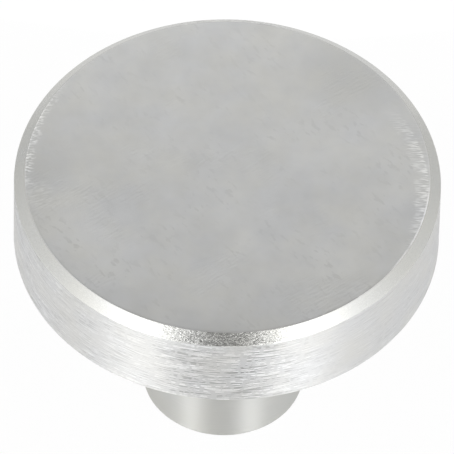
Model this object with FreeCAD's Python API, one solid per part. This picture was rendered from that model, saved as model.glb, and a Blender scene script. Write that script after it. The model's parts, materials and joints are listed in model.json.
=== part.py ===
import FreeCAD, Part
import math
import os

# Round cabinet knob, turned as one piece from stainless steel bar
# Millimetres, +Z towards the front face, origin at the centre of the stem's mounting face

# Overall sizes
head_diameter = 38.0
head_thickness = 8.35
stem_diameter = 14.5
projection = 28.0

# Bevel between the front face and the rim
bevel_width = 1.0
bevel_height = 0.85

# Small radii left on the turned edges, and the tool radius where the stem meets the head
bevel_edge_radius = 0.1
rim_back_edge_radius = 0.15
stem_end_radius = 0.2
stem_root_radius = 0.4

# Blind hole in the stem for an M4 thread, drilled at the thread's diameter less its pitch
thread_diameter = 4.0
thread_pitch = 0.7
full_bore_depth = 12.0
drill_point_angle = 118.0
countersink_margin = 0.2
countersink_angle = 90.0

# Radii and heights that follow from the sizes above
head_radius = head_diameter / 2
stem_radius = stem_diameter / 2
bore_radius = (thread_diameter - thread_pitch) / 2
underside_height = projection - head_thickness
bevel_base_height = projection - bevel_height
face_radius = head_radius - bevel_width


def point(radius, height):
    """A point of the half section, which lies in the XZ plane."""
    return FreeCAD.Vector(radius, 0, height)


def corner_arc(before, corner, after, radius):
    """The arc that rounds one corner of an outline, tangent to both of its sides."""
    towards_before = (before - corner).normalize()
    towards_after = (after - corner).normalize()
    half_angle = towards_before.getAngle(towards_after) / 2
    setback = radius / math.tan(half_angle)
    start = corner + towards_before * setback
    end = corner + towards_after * setback
    bisector = (towards_before + towards_after).normalize()
    middle = corner + bisector * (radius / math.sin(half_angle) - radius)
    return Part.Arc(start, middle, end)


def rounded_outline(corners):
    """A closed outline with straight sides, from corners given as radius, height and rounding."""
    points = [point(radius, height) for radius, height, rounding in corners]
    edges = []
    reached = points[0]
    for index in range(1, len(corners) - 1):
        rounding = corners[index][2]
        arc = corner_arc(points[index - 1], points[index], points[index + 1], rounding)
        edges.append(Part.LineSegment(reached, arc.StartPoint).toShape())
        edges.append(arc.toShape())
        reached = arc.EndPoint
    edges.append(Part.LineSegment(reached, points[-1]).toShape())
    edges.append(Part.LineSegment(points[-1], points[0]).toShape())
    return Part.Wire(edges)


def revolved(outline):
    """The solid that a half section sweeps in one full turn about the knob's axis."""
    return Part.Face(outline).revolve(FreeCAD.Vector(0, 0, 0), FreeCAD.Vector(0, 0, 1), 360)


def turned_body():
    """Stem and head in one section: mounting face, stem, underside, rim, bevel, front face."""
    section = [
        (0, 0, 0),
        (stem_radius, 0, stem_end_radius),
        (stem_radius, underside_height, stem_root_radius),
        (head_radius, underside_height, rim_back_edge_radius),
        (head_radius, bevel_base_height, bevel_edge_radius),
        (face_radius, projection, bevel_edge_radius),
        (0, projection, 0),
    ]
    return revolved(rounded_outline(section))


def screw_hole():
    """The drilled space: countersunk mouth, straight wall for the thread, conical end."""
    mouth_radius = thread_diameter / 2 + countersink_margin
    countersink_depth = (mouth_radius - bore_radius) / math.tan(math.radians(countersink_angle / 2))
    point_length = bore_radius / math.tan(math.radians(drill_point_angle / 2))
    section = [
        point(0, 0),
        point(mouth_radius, 0),
        point(bore_radius, countersink_depth),
        point(bore_radius, full_bore_depth),
        point(0, full_bore_depth + point_length),
        point(0, 0),
    ]
    return revolved(Part.makePolygon(section))


os.makedirs("parts", exist_ok=True)
knob = turned_body().cut(screw_hole())
knob.exportStep("parts/knob.step")
print("knob: %d solid, valid %s, %.1f cubic millimetres" % (len(knob.Solids), knob.isValid(), knob.Volume))
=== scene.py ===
import json
import math
import bmesh
import bpy
from mathutils import Matrix, Vector


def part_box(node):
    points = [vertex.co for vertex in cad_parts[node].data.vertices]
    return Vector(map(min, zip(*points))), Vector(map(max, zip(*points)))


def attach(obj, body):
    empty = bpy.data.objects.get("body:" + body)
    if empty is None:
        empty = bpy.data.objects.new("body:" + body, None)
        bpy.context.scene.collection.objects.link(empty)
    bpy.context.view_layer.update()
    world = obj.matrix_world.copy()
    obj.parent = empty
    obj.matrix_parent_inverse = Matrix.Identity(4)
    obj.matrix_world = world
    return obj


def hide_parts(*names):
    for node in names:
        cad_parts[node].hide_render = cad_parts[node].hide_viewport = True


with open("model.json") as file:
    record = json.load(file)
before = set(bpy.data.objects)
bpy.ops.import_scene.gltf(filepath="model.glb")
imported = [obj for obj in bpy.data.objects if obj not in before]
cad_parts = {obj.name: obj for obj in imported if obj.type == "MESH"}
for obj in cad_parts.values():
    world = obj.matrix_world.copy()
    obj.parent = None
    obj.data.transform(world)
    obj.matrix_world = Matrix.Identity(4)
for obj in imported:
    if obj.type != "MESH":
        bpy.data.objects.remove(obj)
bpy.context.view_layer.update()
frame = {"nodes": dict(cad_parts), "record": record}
print("frame loaded:", sorted(frame["nodes"]))

mm = 0.001

# sizes that the frame gives: the node's highest corner and the screw hole's mount
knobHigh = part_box("knob")[1]
headRadius = knobHigh.x
headTop = knobHigh.z
screwHole = next(m for m in frame["record"]["mounts"] if m["name"] == "screw_hole")
drillRadius = screwHole["dims"]["r_mm"] * mm


# mesh helpers

def link(name, data):
    item = bpy.data.objects.new(name, data)
    bpy.context.scene.collection.objects.link(item)
    return item


def finishedObject(bm, name, materials, smooth=True):
    mesh = bpy.data.meshes.new(name)
    bm.to_mesh(mesh)
    bm.free()
    for material in materials:
        mesh.materials.append(material)
    for polygon in mesh.polygons:
        polygon.use_smooth = smooth
    return link(name, mesh)


def addSection(bm, section):
    # an open half section in the XZ plane, ready for a spin about the axis
    verts = [bm.verts.new((radius, 0, height)) for radius, height in section]
    return verts + [bm.edges.new(pair) for pair in zip(verts, verts[1:])]


def withSupport(corners, share):
    # a loop of support on both sides of each corner that gets rounded later
    section = []
    for index, (radius, height, rounding) in enumerate(corners):
        corner = Vector((radius, height))
        if rounding:
            before = Vector(corners[index - 1][:2]) - corner
            after = Vector(corners[index + 1][:2]) - corner
            section.append(corner + before.normalized() * rounding * share)
            section.append(corner)
            section.append(corner + after.normalized() * rounding * share)
        else:
            section.append(corner)
    return [tuple(place) for place in section]


def ringEdges(bm, radius, height, slack):
    # every edge that runs round the axis at one radius and height
    def onRing(vert):
        fromAxis = math.hypot(vert.co.x, vert.co.y)
        return abs(vert.co.z - height) < slack and abs(fromAxis - radius) < slack
    return [edge for edge in bm.edges if onRing(edge.verts[0]) and onRing(edge.verts[1])]


# camera

cameraSettings = {
    "elevation": 50.272,      # degrees above the floor
    "roll": 1.347,            # degrees
    "distance": 1.14,         # metres, to the centre of the ring where bevel meets rim
    "focalPixels": 12816.1,   # focal length in pixels of the picture
    "aimX": 227.51,           # that centre's place in the picture
    "aimY": 181.34,
    "pictureSize": 454,
    "sensor": 36.0,           # millimetres
    "clipStart": 0.01,
    "clipEnd": 20,
}


def makeCamera(s, aim):
    data = bpy.data.cameras.new("camera")
    data.sensor_width = s["sensor"]
    data.lens = s["focalPixels"] / s["pictureSize"] * s["sensor"]
    data.clip_start = s["clipStart"]
    data.clip_end = s["clipEnd"]
    camera = link("camera", data)
    tilt = math.radians(s["elevation"])
    roll = math.radians(s["roll"])
    back = Vector((0, -math.cos(tilt), math.sin(tilt)))
    up = Vector((0, math.sin(tilt), math.cos(tilt)))
    right = Vector((1, 0, 0))
    cameraRight = math.cos(roll) * right + math.sin(roll) * up
    cameraUp = math.cos(roll) * up - math.sin(roll) * right
    metresPerPixel = s["distance"] / s["focalPixels"]
    middle = s["pictureSize"] / 2
    place = (aim + back * s["distance"]
             - cameraRight * (s["aimX"] - middle) * metresPerPixel
             + cameraUp * (s["aimY"] - middle) * metresPerPixel)
    turn = Matrix((cameraRight, cameraUp, back)).transposed().to_4x4()
    camera.matrix_world = Matrix.Translation(place) @ turn
    bpy.context.scene.camera = camera


# knob: one turned piece, with the thread in its screw hole

knob = {
    "headThickness": 8.35 * mm,
    "stemRadius": 7.25 * mm,
    "bevelWidth": 1.0 * mm,
    "bevelHeight": 0.85 * mm,
    "bevelEdgeRounding": 0.07 * mm,   # how far each rounding reaches from its edge
    "rimBackRounding": 0.15 * mm,
    "stemEndRounding": 0.2 * mm,
    "stemRootRounding": 0.4 * mm,
    "rollOffWidth": 3.0 * mm,         # the face falls a little towards its edge, from the brushing
    "rollOffDepth": 0.04 * mm,
    "rollOffRings": 5,
    "holeMouthRadius": 2.2 * mm,
    "holeDepth": 12.0 * mm,
    "drillPointDepth": 12.99 * mm,
    "threadRadius": 2.0 * mm,
    "threadPitch": 0.7 * mm,
    "threadProfile": [("root", 0), ("root", 0.125), ("crown", 0.44), ("crown", 0.69), ("root", 1)],
    "threadEnd": 9.8 * mm,
    "threadRunOut": 1.0 * mm,
    "steps": 240,                     # round the axis
    "roundingSteps": 4,
    "supportShare": 2.6,              # a support loop's distance from its edge, in roundings
    "ringSlack": 0.004 * mm,
    "mergeDistance": 0.0008 * mm,
    "shortestEdge": 0.0005 * mm,
    "flatNormal": 0.9,                # the least Z of the normal on a flat surface
    "stemSlack": 0.01 * mm,
}


def addThread(bm):
    # one pitch of the thread's profile, swept up the hole, then cut to the countersink and run out
    pitch, crown = knob["threadPitch"], drillRadius
    root, mouth, end = knob["threadRadius"], knob["holeMouthRadius"], knob["threadEnd"]
    radii = {"root": root, "crown": crown}
    profile = [(radii[place], (share - 1) * pitch) for place, share in knob["threadProfile"]]
    bmesh.ops.spin(bm, geom=addSection(bm, profile), cent=(0, 0, 0), axis=(0, 0, 1),
                   dvec=(0, 0, pitch / knob["steps"]), angle=math.tau, steps=knob["steps"],
                   use_merge=False, use_duplicate=False)
    oneTurn = bm.verts[:] + bm.edges[:] + bm.faces[:]
    for turn in range(1, math.ceil(end / pitch) + 1):
        copy = bmesh.ops.duplicate(bm, geom=oneTurn)["geom"]
        verts = [item for item in copy if isinstance(item, bmesh.types.BMVert)]
        bmesh.ops.translate(bm, verts=verts, vec=(0, 0, turn * pitch))
    for vert in bm.verts:
        radius = math.hypot(vert.co.x, vert.co.y)
        height = min(max(vert.co.z, 0), end)
        left = min((end - height) / knob["threadRunOut"], 1)
        reach = crown + (radius - crown) * left
        reach = max(reach, mouth - height)
        vert.co = Vector((vert.co.x * reach / radius, vert.co.y * reach / radius, height))


def outsideCorners(top, bevelBase, underside):
    # radius, height and rounding, from the hole's mouth round to the middle of the face
    faceRadius = headRadius - knob["bevelWidth"]
    corners = [
        (knob["holeMouthRadius"], 0, 0),
        (knob["stemRadius"], 0, knob["stemEndRounding"]),
        (knob["stemRadius"], underside, knob["stemRootRounding"]),
        (headRadius, underside, knob["rimBackRounding"]),
        (headRadius, bevelBase, knob["bevelEdgeRounding"]),
        (faceRadius, top - knob["rollOffDepth"], knob["bevelEdgeRounding"]),
    ]
    for ring in reversed(range(knob["rollOffRings"])):
        share = ring / knob["rollOffRings"]
        radius = faceRadius - (1 - share) * knob["rollOffWidth"]
        corners.append((radius, top - share ** 2 * knob["rollOffDepth"], 0))
    return corners + [(0, top, 0)]


def surfaceOf(face, top, bevelBase, underside):
    height = face.calc_center_median().z
    if height > top - 2 * knob["rollOffDepth"] and face.normal.z > knob["flatNormal"]:
        return "face"
    if height > bevelBase:
        return "bevel"
    if face.normal.z < -knob["flatNormal"]:
        return "underside"
    if height < underside - knob["stemSlack"]:
        return "stem"
    return "rim"


def makeKnob(materials):
    bm = bmesh.new()
    addThread(bm)
    top, underside = headTop, headTop - knob["headThickness"]
    bevelBase = top - knob["bevelHeight"]
    inside = [
        (0, knob["drillPointDepth"], 0),
        (drillRadius, knob["holeDepth"], 0),
        (drillRadius, knob["threadEnd"], 0),
    ]
    outside = outsideCorners(top, bevelBase, underside)
    for corners in (inside, outside):
        section = addSection(bm, withSupport(corners, knob["supportShare"]))
        bmesh.ops.spin(bm, geom=section, cent=(0, 0, 0), axis=(0, 0, 1), dvec=(0, 0, 0),
                       angle=math.tau, steps=knob["steps"], use_merge=True, use_duplicate=False)
    bmesh.ops.remove_doubles(bm, verts=bm.verts, dist=knob["mergeDistance"])
    bmesh.ops.dissolve_degenerate(bm, dist=knob["shortestEdge"], edges=bm.edges)
    bmesh.ops.recalc_face_normals(bm, faces=bm.faces)
    for radius, height, rounding in outside:
        if rounding:
            bmesh.ops.bevel(bm, geom=ringEdges(bm, radius, height, knob["ringSlack"]), offset=rounding,
                            offset_type="OFFSET", affect="EDGES", segments=knob["roundingSteps"],
                            profile=0.5, material=-1)
    bmesh.ops.recalc_face_normals(bm, faces=bm.faces)
    openEdges = [edge for edge in bm.edges if len(edge.link_faces) != 2]
    print("knob mesh:", len(bm.faces), "faces,", len(openEdges), "open edges")
    surfaces = list(materials)
    for face in bm.faces:
        face.material_index = surfaces.index(surfaceOf(face, top, bevelBase, underside))
    return finishedObject(bm, "knob_body", materials.values())


# node helpers

mixLow, mixHigh, mixResult = 6, 7, 2   # sockets of a Mix node that mixes colours
faceLayer = 1 * mm                     # picks the layer of a noise that the flat face cuts


class Nodes:
    # a node tree with short calls for the nodes that the materials are made of
    def __init__(self, material):
        material.use_nodes = True
        self.tree = material.node_tree

    def add(self, kind, inputs=(), **settings):
        node = self.tree.nodes.new(kind)
        for key, value in settings.items():
            setattr(node, key, value)
        for key, value in dict(inputs).items():
            self.feed(node.inputs[key], value)
        return node

    def feed(self, socket, value):
        if isinstance(value, bpy.types.NodeSocket):
            self.tree.links.new(value, socket)
        else:
            socket.default_value = value

    def calc(self, operation, *values):
        return self.add("ShaderNodeMath", enumerate(values), operation=operation).outputs[0]

    def remap(self, value, low, high, toLow, toHigh):
        node = self.add("ShaderNodeMapRange", {"Value": value, "From Min": low, "From Max": high,
                                               "To Min": toLow, "To Max": toHigh})
        return node.outputs["Result"]

    def noise(self, vector, detail=2.0, roughness=0.5):
        node = self.add("ShaderNodeTexNoise", {"Vector": vector, "Scale": 1.0, "Detail": detail,
                                               "Roughness": roughness})
        return node.outputs["Fac"]

    def mix(self, factor, low, high, kind="MIX"):
        node = self.add("ShaderNodeMix", {"Factor": factor}, data_type="RGBA", blend_type=kind)
        self.feed(node.inputs[mixLow], low)
        self.feed(node.inputs[mixHigh], high)
        return node.outputs[mixResult]

    def tint(self, factor, low, high):
        return self.mix(factor, (*low, 1), (*high, 1))

    def blendTo(self, color, other, factor):
        return self.mix(factor, color, (*other, 1))


def stretched(n, vector, size, turn=0.0, shift=(0, 0, 0)):
    # the vector counted in strokes of one size, lying at an angle to X
    node = n.add("ShaderNodeMapping", {"Vector": vector, "Location": shift,
                                       "Rotation": (0, 0, turn), "Scale": size}, vector_type="TEXTURE")
    return node.outputs[0]


def spots(n, place, size, detail, shift=(0, 0, 0), roughness=0.5):
    return n.noise(stretched(n, place, [size] * 3, shift=shift), detail, roughness)


def strokesOnFace(n, place, length, width, detail, turn=0, shift=(0, 0, 0)):
    size = (length, width, faceLayer)
    return n.noise(stretched(n, place, size, math.radians(turn), shift), detail)


def strokesRound(n, along, length, width, detail, shift=(0, 0, 0)):
    return n.noise(stretched(n, along, (length, length, width), shift=shift), detail)


def sparse(n, value, gap, rise):
    # from -1 to 1, but 0 near the middle, so that single strokes stand on a calm ground
    above = n.remap(value, 0.5 + gap, 0.5 + gap + rise, 0, 1)
    below = n.remap(value, 0.5 - gap, 0.5 - gap - rise, 0, 1)
    return n.calc("SUBTRACT", above, below)


def fromAxis(n, x, y):
    return n.calc("SQRT", n.calc("ADD", n.calc("MULTIPLY", x, x), n.calc("MULTIPLY", y, y)))


# steel: every surface is the same metal, brushed in its own direction

steel = {
    # a Range holds the noise values at which a pattern starts and is full
    "tintRange": (0.35, 0.65),
    "roughRange": (0.3, 0.7),
    "roughSpread": 0.02,
    "patchRange": (0.35, 0.6),
    "breakRange": (0.38, 0.5),
    "breakShift": (0, 0, 0.007),
    "fineShift": (0, 0, 0.011),
    "sideBlend": 5 * mm,      # how far from the middle the left side's values give way to the right's
    "aroundTurn": 0.25,       # a quarter turn of the gloss, because the strokes run round the axis
}


def steelShader(n, s, color, height, cloud):
    # a soft tint in clouds, and the strokes as bumps
    shader = n.tree.nodes["Principled BSDF"]
    cloudTint = n.tint(n.remap(cloud, *steel["tintRange"], 0, 1), s["warm"], s["cool"])
    smoothest, roughest = s["roughness"] - steel["roughSpread"], s["roughness"] + steel["roughSpread"]
    bump = n.add("ShaderNodeBump", {"Height": height, "Strength": 1.0, "Distance": 1.0})
    n.feed(shader.inputs["Base Color"], n.mix(1.0, color, cloudTint, "MULTIPLY"))
    n.feed(shader.inputs["Roughness"], n.remap(cloud, *steel["roughRange"], smoothest, roughest))
    n.feed(shader.inputs["Normal"], bump.outputs[0])
    shader.inputs["Metallic"].default_value = 1
    shader.inputs["Anisotropic"].default_value = s["anisotropic"]
    shader.inputs["Specular Tint"].default_value = (s["grazing"], s["grazing"], s["grazing"], 1)
    return shader


def turnedSteel(name, s):
    # strokes run round the axis on cylinders, cones and flat rings, thickest at the front and back; their
    # dark and pale colour is partly the strokes' own tone and partly painted reflection that fades towards
    # the sides
    material = bpy.data.materials.new(name)
    n = Nodes(material)
    place = n.add("ShaderNodeTexCoord").outputs["Object"]
    x, y, z = n.add("ShaderNodeSeparateXYZ", {0: place}).outputs
    down = n.calc("SUBTRACT", z, fromAxis(n, x, y))
    along = n.add("ShaderNodeCombineXYZ", {0: x, 1: y, 2: down}).outputs[0]
    patches = n.remap(spots(n, place, s["patchSize"], 1), *steel["patchRange"], s["thin"], 1)
    # painted reflection: the strokes' colour and bumps fade from the front and back to calmer sides,
    # unevenly left and right
    calm = n.remap(x, -steel["sideBlend"], steel["sideBlend"], s["calmLeft"], s["calmRight"])
    sideways = n.remap(n.calc("ABSOLUTE", x), s["thickUpTo"], s["calmFrom"], 1, calm)
    breaks = n.remap(spots(n, along, s["strokeBreak"], 0, steel["breakShift"]), *steel["breakRange"], 0, 1)
    mask = n.calc("MULTIPLY", n.calc("MULTIPLY", patches, sideways), breaks)
    stroke = strokesRound(n, along, s["strokeLength"], s["strokeWidth"], 1)
    stroke = n.calc("MULTIPLY", sparse(n, stroke, s["strokeGap"], s["strokeRise"]), mask)
    fine = strokesRound(n, along, s["fineLength"], s["fineWidth"], 2, steel["fineShift"])
    fine = n.calc("MULTIPLY", fine, sideways)
    height = n.calc("ADD", n.calc("MULTIPLY", stroke, s["strokeDepth"]),
                    n.calc("MULTIPLY", fine, s["fineDepth"]))
    color = n.tint(n.remap(stroke, -1, 1, 0, 1), s["dark"], s["pale"])
    shader = steelShader(n, s, color, height, spots(n, place, s["cloudSize"], 3))
    tangent = n.add("ShaderNodeTangent", direction_type="RADIAL", axis="Z")
    n.feed(shader.inputs["Tangent"], tangent.outputs[0])
    shader.inputs["Anisotropic Rotation"].default_value = steel["aroundTurn"]
    return material


bevelLook = {
    "roughness": 0.26, "anisotropic": 0.3, "grazing": 0.95,   # grazing: reflection left at low angles
    "dark": (0.385, 0.385, 0.369), "pale": (0.785, 0.785, 0.761),
    "warm": (1.0, 0.998, 0.985), "cool": (0.985, 0.99, 1.0),
    "patchSize": 4 * mm, "thin": 0.7, "cloudSize": 4 * mm,
    "thickUpTo": 3.6 * mm, "calmFrom": 7 * mm, "calmLeft": 0.08, "calmRight": 0.06,
    "strokeLength": 0.28 * mm, "strokeWidth": 0.12 * mm, "strokeGap": 0.0, "strokeRise": 0.07,
    "strokeBreak": 0.3 * mm, "strokeDepth": 0.005 * mm,
    "fineLength": 0.16 * mm, "fineWidth": 0.1 * mm, "fineDepth": 0.008 * mm,
}
rimLook = {
    "roughness": 0.45, "anisotropic": 0.95, "grazing": 0.9,
    "dark": (0.45, 0.45, 0.445), "pale": (0.97, 0.97, 0.965),
    "warm": (1.0, 0.998, 0.985), "cool": (0.985, 0.99, 1.0),
    "patchSize": 4 * mm, "thin": 0.6, "cloudSize": 4 * mm,
    "thickUpTo": 2.5 * mm, "calmFrom": 9 * mm, "calmLeft": 0.42, "calmRight": 0.2,
    "strokeLength": 2.2 * mm, "strokeWidth": 0.075 * mm, "strokeGap": 0.0, "strokeRise": 0.06,
    "strokeBreak": 0.4 * mm, "strokeDepth": 0.008 * mm,
    "fineLength": 0.5 * mm, "fineWidth": 0.1 * mm, "fineDepth": 0.018 * mm,
}
undersideLook = {
    "roughness": 0.38, "anisotropic": 0.85, "grazing": 1.0,
    "dark": (0.56, 0.56, 0.55), "pale": (0.68, 0.68, 0.67),
    "warm": (1.0, 0.998, 0.985), "cool": (0.985, 0.99, 1.0),
    "patchSize": 6 * mm, "thin": 0.5, "cloudSize": 5 * mm,
    "thickUpTo": 9 * mm, "calmFrom": 18 * mm, "calmLeft": 0.8, "calmRight": 0.8,
    "strokeLength": 9 * mm, "strokeWidth": 0.2 * mm, "strokeGap": 0.0, "strokeRise": 0.2,
    "strokeBreak": 4 * mm, "strokeDepth": 0.002 * mm,
    "fineLength": 3 * mm, "fineWidth": 0.09 * mm, "fineDepth": 0.002 * mm,
}
stemLook = {
    "roughness": 0.41, "anisotropic": 0.96, "grazing": 1.0,
    "dark": (0.617, 0.617, 0.597), "pale": (0.647, 0.647, 0.627),
    "warm": (1.0, 0.998, 0.985), "cool": (0.99, 0.995, 1.0),
    "patchSize": 4 * mm, "thin": 0.4, "cloudSize": 5 * mm,
    "thickUpTo": 4 * mm, "calmFrom": 7 * mm, "calmLeft": 0.6, "calmRight": 0.6,
    "strokeLength": 4 * mm, "strokeWidth": 0.12 * mm, "strokeGap": 0.0, "strokeRise": 0.25,
    "strokeBreak": 3 * mm, "strokeDepth": 0.0005 * mm,
    "fineLength": 2 * mm, "fineWidth": 0.05 * mm, "fineDepth": 0.001 * mm,
}


def mottleAndPaintedShade(n, s, place):
    # three sizes of cloud, short slanting marks, and a few patches of painted shade
    mottle = spots(n, place, s["mottleSize"], 2, s["mottleShift"])
    broadTone = spots(n, place, s["broadToneSize"], 1, s["broadToneShift"])
    blotch = spots(n, place, s["blotchSize"], 2, s["blotchShift"])
    tone = n.calc("ADD", n.calc("ADD", broadTone, blotch), mottle)
    color = n.tint(n.remap(tone, *s["toneRange"], 0, 1), s["dark"], s["pale"])
    marks = strokesOnFace(n, place, s["markLength"], s["markWidth"], 2, s["markTurn"])
    marks = n.remap(marks, *s["markRange"], 0, 1)
    marked = n.remap(spots(n, place, s["markPatch"], 1, s["markShift"]), *s["markPatchRange"], 0, 1)
    color = n.blendTo(color, s["mark"], n.calc("MULTIPLY", marks, marked))
    # painted shade: patches darkened to stand for darker reflections on the face
    for centre, inner, outer in s["paintedShadePatches"]:
        away = n.add("ShaderNodeVectorMath", {0: place, 1: centre}, operation="DISTANCE")
        color = n.blendTo(color, s["paintedShade"], n.remap(away.outputs["Value"], inner, outer, 1, 0))
    return color


def grainAndScratches(n, s, place):
    grain = strokesOnFace(n, place, s["grainLength"], s["grainWidth"], 2)
    patches = spots(n, place, s["scratchPatch"], 0, s["scratchShift"])
    patches = n.remap(patches, *s["scratchPatchRange"], 0, 1)
    scratch = strokesOnFace(n, place, s["scratchLength"], s["scratchWidth"], 1, s["scratchTurn"])
    scratch = n.calc("MULTIPLY", sparse(n, scratch, s["scratchGap"], s["scratchRise"]), patches)
    return n.calc("ADD", n.calc("MULTIPLY", grain, s["grainDepth"]),
                  n.calc("MULTIPLY", scratch, s["scratchDepth"]))


def glintDashes(n, s, b, place, x, y, radius, clumps):
    # burnished dashes on one side of the face, reaching in from its edge by uneven lengths; their bumps
    # are real marks and their near-white colour is a painted glint
    edge = n.calc("ADD", radius, n.calc("MULTIPLY", y, b["lean"]))
    uneven = n.calc("ADD", edge, n.calc("MULTIPLY", n.calc("SUBTRACT", clumps, 0.5), b["uneven"]))
    near = n.remap(uneven, b["start"], b["end"], 0, 1)
    before = n.remap(edge, b["end"], b["end"] + s["glintDashFade"], 1, b["beyond"])
    oneSide = n.remap(n.calc("MULTIPLY", x, b["side"]), *s["glintDashSide"], 0, 1)
    fromMiddle = n.calc("ABSOLUTE", n.calc("SUBTRACT", y, b["middle"]))
    reach = n.remap(fromMiddle, b["reach"], b["reach"] / 2, 0, 1)
    where = n.calc("MULTIPLY", n.calc("MULTIPLY", near, before), n.calc("MULTIPLY", oneSide, reach))
    dash = strokesOnFace(n, place, b["length"], b["width"], 1, b["turn"], s["glintDashShift"])
    return n.calc("MULTIPLY", n.remap(dash, *s["glintDashRange"], 0, b["strength"]), where)


def paintedHighlightEdge(n, s, x, y, radius, clumps):
    # a painted highlight: a broken bright line on the face's edge at the left and right, fainter on the
    # left
    line = n.calc("GREATER_THAN", radius, s["edgeLine"])
    leaning = n.calc("ADD", y, n.calc("MULTIPLY", x, s["edgeLineLean"]))
    fromMiddle = n.calc("ABSOLUTE", n.calc("SUBTRACT", leaning, s["edgeLineMiddle"]))
    reach = n.remap(fromMiddle, s["edgeLineReach"], s["edgeLineReach"] * s["edgeLineFull"], 0, 1)
    side = n.remap(x, -steel["sideBlend"], steel["sideBlend"], s["edgeLineLeft"], 1)
    broken = n.remap(clumps, *s["edgeLineRange"], s["edgeLineLow"], 1)
    return n.calc("MULTIPLY", n.calc("MULTIPLY", n.calc("MULTIPLY", line, reach), side), broken)


def satinFace(name, s):
    # mottled satin with a few slanting scratches and patches of painted shade, and burnished dashes at the
    # left and right edges, painted near white as glints, with a painted highlight line on the edge
    material = bpy.data.materials.new(name)
    n = Nodes(material)
    place = n.add("ShaderNodeTexCoord").outputs["Object"]
    x, y = n.add("ShaderNodeSeparateXYZ", {0: place}).outputs[:2]
    radius = fromAxis(n, x, y)
    color = mottleAndPaintedShade(n, s, place)
    height = grainAndScratches(n, s, place)
    clumps = spots(n, place, s["clumpSize"], 1, s["clumpShift"])
    for b in s["glintDashes"]:
        dash = glintDashes(n, s, b, place, x, y, radius, clumps)
        height = n.calc("ADD", height, n.calc("MULTIPLY", dash, b["depth"]))
        # painted glint: the dashes' colour goes to near white
        color = n.blendTo(color, s["paintedHighlight"], dash)
    # painted highlight along the face's edge
    color = n.blendTo(color, s["paintedHighlight"], paintedHighlightEdge(n, s, x, y, radius, clumps))
    cloud = spots(n, place, s["cloudSize"], 3, roughness=s["cloudRoughness"])
    shader = steelShader(n, s, color, height, cloud)
    n.feed(shader.inputs["Tangent"], n.add("ShaderNodeCombineXYZ", {1: 1.0}).outputs[0])
    return material


faceLook = {
    "roughness": 0.3, "anisotropic": 0.4, "grazing": 0.3,
    "dark": (0.628, 0.628, 0.619), "pale": (0.719, 0.719, 0.71), "toneRange": (1, 2),
    "warm": (1.0, 0.998, 0.975), "cool": (0.972, 0.98, 0.995),
    "cloudSize": 5 * mm, "cloudRoughness": 0.6,
    "mottleSize": 1.8 * mm, "mottleShift": (0, 0, 0.02),
    "broadToneSize": 11 * mm, "broadToneShift": (0.15662, -0.04913, 0.04),
    "blotchSize": 5 * mm, "blotchShift": (-0.06738, 0.13912, 0.01),
    "mark": (0.635, 0.635, 0.625), "markTurn": -50,
    "markLength": 1.1 * mm, "markWidth": 0.5 * mm, "markRange": (0.56, 0.63),
    "markPatch": 4 * mm, "markShift": (0, 0, 0.06), "markPatchRange": (0.45, 0.6),
    # painted shade where the face's reflection is darker: centre, and the distances from it where the
    # shade is full and where it ends
    "paintedShade": (0.6, 0.6, 0.59),
    "paintedShadePatches": [
        ((-17.2 * mm, 0, headTop), 0.5 * mm, 4.5 * mm),
        ((11.4 * mm, 12.6 * mm, headTop), 2 * mm, 5.5 * mm),
        ((0, -19.5 * mm, headTop), 0.5 * mm, 3.3 * mm),
    ],
    "grainLength": 0.6 * mm, "grainWidth": 0.5 * mm, "grainDepth": 0.0005 * mm,
    "scratchPatch": 5 * mm, "scratchShift": (0.037, 0.034, 0.034), "scratchPatchRange": (0.55, 0.68),
    "scratchLength": 1.0 * mm, "scratchWidth": 0.22 * mm, "scratchDepth": 0.0032 * mm,
    "scratchTurn": 42, "scratchGap": 0.06, "scratchRise": 0.1,
    # near white, for the painted glints and the painted highlight line
    "paintedHighlight": (1.0, 1.0, 0.99),
    "clumpSize": 1.1 * mm, "clumpShift": (0, 0, 0.03),
    # side 1 is the right, start and end are radii, middle and reach run along Y
    "glintDashes": [
        {"side": 1, "start": 16.5 * mm, "end": 17.75 * mm, "lean": 0.1, "uneven": 2 * mm,
         "beyond": 0.15, "middle": -0.5 * mm, "reach": 8.5 * mm, "length": 0.9 * mm,
         "width": 0.13 * mm, "turn": 0, "depth": 0.008 * mm, "strength": 1.2},
        {"side": -1, "start": 17.3 * mm, "end": 18.0 * mm, "lean": 0, "uneven": 1.5 * mm,
         "beyond": 1, "middle": 3.5 * mm, "reach": 7 * mm, "length": 0.5 * mm,
         "width": 0.2 * mm, "turn": 0, "depth": 0.008 * mm, "strength": 0.95},
        {"side": -1, "start": 15.4 * mm, "end": 16.6 * mm, "lean": 0, "uneven": 2 * mm,
         "beyond": 0.7, "middle": -2.7 * mm, "reach": 1.8 * mm, "length": 0.7 * mm,
         "width": 0.2 * mm, "turn": 20, "depth": 0.004 * mm, "strength": 0.25},
    ],
    "glintDashFade": 0.2 * mm, "glintDashSide": (11 * mm, 14 * mm),
    "glintDashShift": (0, 0, 0.04), "glintDashRange": (0.44, 0.62),
    "edgeLine": 17.9 * mm, "edgeLineLean": 0.25, "edgeLineMiddle": -1.2 * mm,
    "edgeLineReach": 6 * mm, "edgeLineFull": 0.7, "edgeLineLeft": 0.15,
    "edgeLineRange": (0.35, 0.55), "edgeLineLow": 0.1,
}


# light and floor

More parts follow.
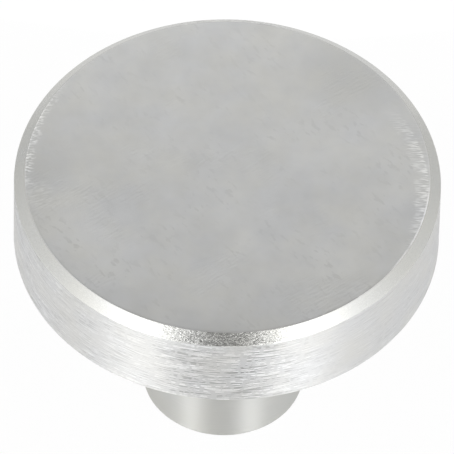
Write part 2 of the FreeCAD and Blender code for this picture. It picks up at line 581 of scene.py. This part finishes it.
studio = {
    "world": 0.4,
    "floorHalfWidth": 3,       # metres
    "floorHeight": 0.02 * mm,  # a hair up the stem, so that light from below reaches the stem's end
    "floorColor": 0.9,
    "floorGlow": 0.95,         # share of the floor that shows plain white to the camera
    "floorMirrorGlow": 0.1,    # and in the knob's reflections
    "tent": {
        "radius": 0.6,
        "height": 1.0,
        "segments": 96,
        "brightest": 4.0,
        "blendLow": 0.25,      # the foot's glow gives way to the upper glow between these heights
        "blendHigh": 0.45,
        # degrees away from straight in front, and the wall's glow there
        "foot": [(0, 1.1), (12, 1.12), (22, 2.05), (30, 3.6), (40, 3.5), (50, 1.92), (62, 1.3),
                 (80, 1.32), (100, 1.07), (130, 0.84), (150, 0.77), (180, 0.8)],
        "upper": [(0, 0.15), (14, 0.24), (22, 0.9), (32, 2.4), (40, 3.0), (55, 2.15), (70, 1.5),
                  (85, 1.12), (100, 0.86), (130, 0.64)],
        "footTurn": 2,         # degrees
        "cornerFrom": 0.66,    # the foot is a little dimmer in the corner behind on the left
        "cornerFull": 0.84,
        "cornerShare": 0.94,
    },
    "back": {"low": 0.075, "high": 0.24, "distance": 0.1, "width": 0.22,
             "fadeFrom": 0.125, "strength": 0.9, "topStrength": 0.36},
    "cardSegments": 64,
    "top": {"radius": 0.25, "centre": (0, 0, 1.0), "strength": 0.6},
    "paper": {"radius": 0.13, "centre": (0, 0.17, 0.0003), "strength": 1.0},
}


def emptyMaterial(name):
    material = bpy.data.materials.new(name)
    n = Nodes(material)
    n.tree.nodes.clear()
    return material, n


def giveLight(n, strength):
    glow = n.add("ShaderNodeEmission", {"Color": (1, 1, 1, 1), "Strength": strength})
    n.add("ShaderNodeOutputMaterial", {"Surface": glow.outputs[0]})


def lightOnly(piece):
    piece.visible_camera = False
    piece.visible_shadow = False


def makeFloor(s):
    bm = bmesh.new()
    bmesh.ops.create_grid(bm, x_segments=1, y_segments=1, size=s["floorHalfWidth"])
    bmesh.ops.translate(bm, verts=bm.verts, vec=(0, 0, s["floorHeight"]))
    material, n = emptyMaterial("paleFloor")
    grey = s["floorColor"]
    diffuse = n.add("ShaderNodeBsdfDiffuse", {"Color": (grey, grey, grey, 1)})
    glow = n.add("ShaderNodeEmission", {"Color": (1, 1, 1, 1)})
    rays = n.add("ShaderNodeLightPath").outputs
    share = n.calc("ADD", n.calc("MULTIPLY", rays["Is Camera Ray"], s["floorGlow"]),
                   n.calc("MULTIPLY", rays["Is Glossy Ray"], s["floorMirrorGlow"]))
    white = n.add("ShaderNodeMixShader", {0: share, 1: diffuse.outputs[0], 2: glow.outputs[0]})
    clear = n.add("ShaderNodeBsdfTransparent")
    below = n.add("ShaderNodeNewGeometry").outputs["Backfacing"]   # the floor is clear from below
    both = n.add("ShaderNodeMixShader", {0: below, 1: white.outputs[0], 2: clear.outputs[0]})
    n.add("ShaderNodeOutputMaterial", {"Surface": both.outputs[0]})
    finishedObject(bm, "floor", [material], smooth=False)


def glowRamp(n, angle, stops, brightest):
    ramp = n.add("ShaderNodeValToRGB", {"Fac": n.remap(angle, 0, math.pi, 0, 1)})
    elements = ramp.color_ramp.elements
    while len(elements) < len(stops):
        elements.new(1)
    for element, (degrees, glow) in zip(elements, stops):
        element.position = degrees / 180
        element.color = (glow / brightest, glow / brightest, glow / brightest, 1)
    return n.calc("MULTIPLY", ramp.outputs["Color"], brightest)


def angleFromFront(n, place):
    x, y = n.add("ShaderNodeSeparateXYZ", {0: place}).outputs[:2]
    return n.calc("ARCTAN2", n.calc("ABSOLUTE", x), n.calc("MULTIPLY", y, -1))


def makeTent(s):
    # a round wall of soft light, brightest on both sides of the camera and unseen by it
    bm = bmesh.new()
    bmesh.ops.create_cone(bm, cap_ends=False, segments=s["segments"], radius1=s["radius"],
                          radius2=s["radius"], depth=s["height"])
    bmesh.ops.translate(bm, verts=bm.verts, vec=(0, 0, s["height"] / 2))
    material, n = emptyMaterial("tentWall")
    place = n.add("ShaderNodeTexCoord").outputs["Object"]
    x, y, z = n.add("ShaderNodeSeparateXYZ", {0: place}).outputs
    turn = (0, 0, math.radians(s["footTurn"]))
    turned = n.add("ShaderNodeMapping", {"Vector": place, "Rotation": turn}).outputs[0]
    foot = glowRamp(n, angleFromFront(n, turned), s["foot"], s["brightest"])
    corner = n.calc("SUBTRACT", y, x)
    dimmed = n.remap(corner, s["cornerFrom"], s["cornerFull"], 1, s["cornerShare"])
    foot = n.calc("MULTIPLY", foot, dimmed)
    upper = glowRamp(n, angleFromFront(n, place), s["upper"], s["brightest"])
    raised = n.remap(z, s["blendLow"], s["blendHigh"], 0, 1)
    giveLight(n, n.add("ShaderNodeMix", {0: raised, 2: foot, 3: upper}).outputs[0])
    lightOnly(finishedObject(bm, "tentWall", [material]))


def makeBackCard(s):
    # the card behind the knob that its face mirrors, brighter at the foot
    bm = bmesh.new()
    bmesh.ops.create_grid(bm, x_segments=1, y_segments=1, size=0.5)
    size = Matrix.Diagonal((s["width"], s["high"] - s["low"], 1, 1))
    place = Matrix.Translation((0, s["distance"], (s["low"] + s["high"]) / 2))
    upright = Matrix.Rotation(math.pi / 2, 4, "X")
    bmesh.ops.transform(bm, matrix=place @ upright @ size, verts=bm.verts)
    material, n = emptyMaterial("backCard")
    place = n.add("ShaderNodeTexCoord").outputs["Object"]
    height = n.add("ShaderNodeSeparateXYZ", {0: place}).outputs[2]
    giveLight(n, n.remap(height, s["fadeFrom"], s["high"], s["strength"], s["topStrength"]))
    lightOnly(finishedObject(bm, "backCard", [material], smooth=False))


def makeRoundCard(name, s, segments):
    bm = bmesh.new()
    bmesh.ops.create_circle(bm, cap_ends=True, segments=segments, radius=s["radius"])
    bmesh.ops.translate(bm, verts=bm.verts, vec=s["centre"])
    material, n = emptyMaterial(name)
    giveLight(n, s["strength"])
    lightOnly(finishedObject(bm, name, [material], smooth=False))


def makeWorld(strength):
    world = bpy.data.worlds.new("studio")
    bpy.context.scene.world = world
    n = Nodes(world)
    seen = n.add("ShaderNodeLightPath").outputs["Is Camera Ray"]
    n.feed(n.tree.nodes["Background"].inputs["Color"], (1, 1, 1, 1))
    n.feed(n.tree.nodes["Background"].inputs["Strength"], n.remap(seen, 0, 1, strength, 1))


print("materials")
knobMaterials = {
    "face": satinFace("satinFace", faceLook),
    "bevel": turnedSteel("turnedBevel", bevelLook),
    "rim": turnedSteel("brushedRim", rimLook),
    "stem": turnedSteel("satinStem", stemLook),
    "underside": turnedSteel("turnedUnderside", undersideLook),
}

print("knob")
knobBody = makeKnob(knobMaterials)
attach(knobBody, "root")
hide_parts("knob")

print("camera, floor and light")
makeCamera(cameraSettings, Vector((0, 0, headTop - knob["bevelHeight"])))
makeFloor(studio)
makeWorld(studio["world"])
makeTent(studio["tent"])
makeBackCard(studio["back"])
makeRoundCard("topCard", studio["top"], studio["cardSegments"])   # the face mirrors it from the top
makeRoundCard("paper", studio["paper"], studio["cardSegments"])   # the bevel mirrors it at the back

bpy.context.scene.view_settings.view_transform = "Standard"
